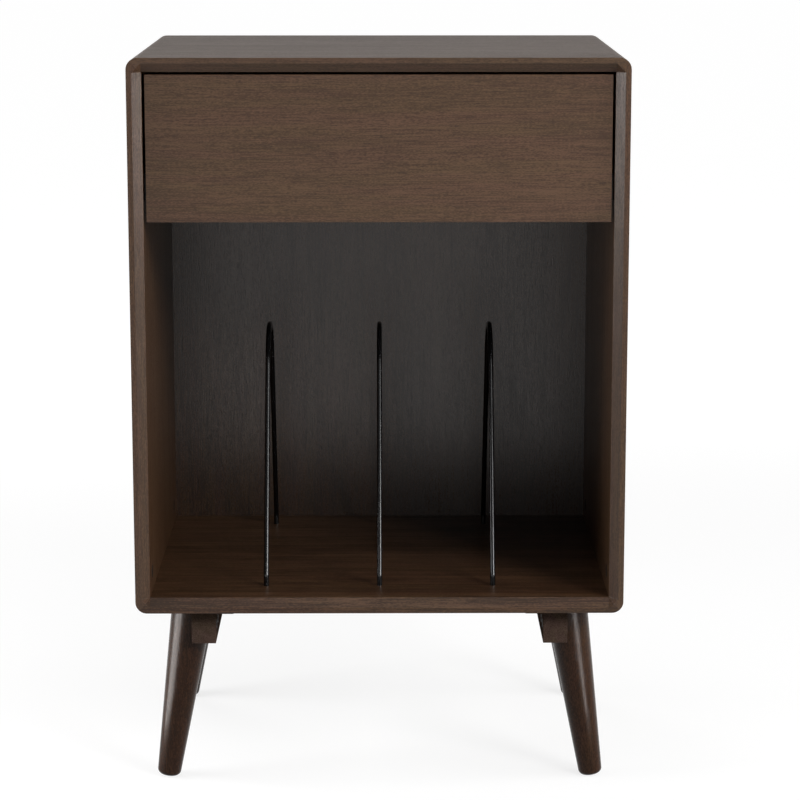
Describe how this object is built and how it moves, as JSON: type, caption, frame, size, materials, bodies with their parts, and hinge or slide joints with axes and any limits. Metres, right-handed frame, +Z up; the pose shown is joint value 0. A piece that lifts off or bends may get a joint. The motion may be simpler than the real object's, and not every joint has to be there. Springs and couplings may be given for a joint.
{
  "type": "turntable stand",
  "caption": "Dark wooden turntable stand: a mitred case with a bevelled front on splayed turned legs, with a handleless drawer under the top and bent rod dividers for records.",
  "frame": {"origin": "middle of the overall box, on the floor that the legs stand on", "axes": "+Z up, +X to the right seen from the front, the front faces -Y"},
  "size_m": [0.55, 0.42, 0.83],
  "materials": {
    "case_wood": "dark stained wood, satin lacquer, grain along each panel",
    "back_board": "thin board with a dark satin wood face, grain upright",
    "leg_wood": "turned wood, dark stain, semi-gloss lacquer",
    "drawer_board": "board with a plain dark satin face",
    "divider_steel": "steel rod, black semi-gloss coat",
    "slide_steel": "folded steel sheet, black satin coat",
    "roller_plastic": "nylon, off-white",
    "zinc_steel": "zinc-plated steel",
    "black_screw": "steel, black finish",
    "insert_brass": "plain brass",
    "dowel_wood": "plain beech"
  },
  "bodies": {
    "case": {"back_panel": "back_board", "back_panel_screws": "black_screw", "bottom_panel": "case_wood", "channel_roller_pins": "zinc_steel", "channel_screws": "zinc_steel", "corner_bolts": "zinc_steel", "corner_cams": "black_screw", "corner_dowels": "dowel_wood", "left_side_panel": "case_wood", "leg_bolts": "black_screw", "leg_front_left": "leg_wood", "leg_front_right": "leg_wood", "leg_inserts": "insert_brass", "leg_rail_left": "leg_wood", "leg_rail_right": "leg_wood", "leg_rear_left": "leg_wood", "leg_rear_right": "leg_wood", "plate_screws": "black_screw", "rail_plate_left": "leg_wood", "rail_plate_right": "leg_wood", "rail_screws": "zinc_steel", "record_divider_centre": "divider_steel", "record_divider_left": "divider_steel", "record_divider_right": "divider_steel", "right_side_panel": "case_wood", "slide_channel_left": "slide_steel", "slide_channel_right": "slide_steel", "top_panel": "case_wood"},
    "drawer": {"drawer_front": "case_wood", "drawer_left_side": "drawer_board", "drawer_right_side": "drawer_board", "drawer_back": "drawer_board", "drawer_bottom": "drawer_board", "drawer_cams": "zinc_steel", "drawer_cam_bolts": "zinc_steel", "drawer_dowels": "dowel_wood", "drawer_back_screws": "zinc_steel", "drawer_runner_left": "slide_steel", "drawer_runner_right": "slide_steel", "runner_screws": "zinc_steel", "runner_roller_pins": "zinc_steel"},
    "channel_roller_left": {"channel_roller_left": "roller_plastic"},
    "channel_roller_right": {"channel_roller_right": "roller_plastic"},
    "runner_roller_left": {"runner_roller_left": "roller_plastic"},
    "runner_roller_right": {"runner_roller_right": "roller_plastic"}
  },
  "joints": [
    {"name": "drawer_slide", "type": "slide", "parent": "case", "child": "drawer", "axis": [0, -1, 0], "range_m": [0, 0.25]},
    {"name": "channel_roller_left_turn", "type": "hinge", "parent": "case", "child": "channel_roller_left", "pos_m": [-0.25365, -0.162, 0.6845], "axis": [1, 0, 0], "continuous": true},
    {"name": "channel_roller_right_turn", "type": "hinge", "parent": "case", "child": "channel_roller_right", "pos_m": [0.25365, -0.162, 0.6845], "axis": [1, 0, 0], "continuous": true},
    {"name": "runner_roller_left_turn", "type": "hinge", "parent": "drawer", "child": "runner_roller_left", "pos_m": [-0.25135, 0.154, 0.6845], "axis": [1, 0, 0], "continuous": true},
    {"name": "runner_roller_right_turn", "type": "hinge", "parent": "drawer", "child": "runner_roller_right", "pos_m": [0.25135, 0.154, 0.6845], "axis": [1, 0, 0], "continuous": true}
  ],
  "couplings": [
    {"joint": "channel_roller_left_turn", "follows": "drawer_slide", "rad_per_m": 83.333},
    {"joint": "channel_roller_right_turn", "follows": "drawer_slide", "rad_per_m": 83.333},
    {"joint": "runner_roller_left_turn", "follows": "drawer_slide", "rad_per_m": 83.333},
    {"joint": "runner_roller_right_turn", "follows": "drawer_slide", "rad_per_m": 83.333}
  ]
}
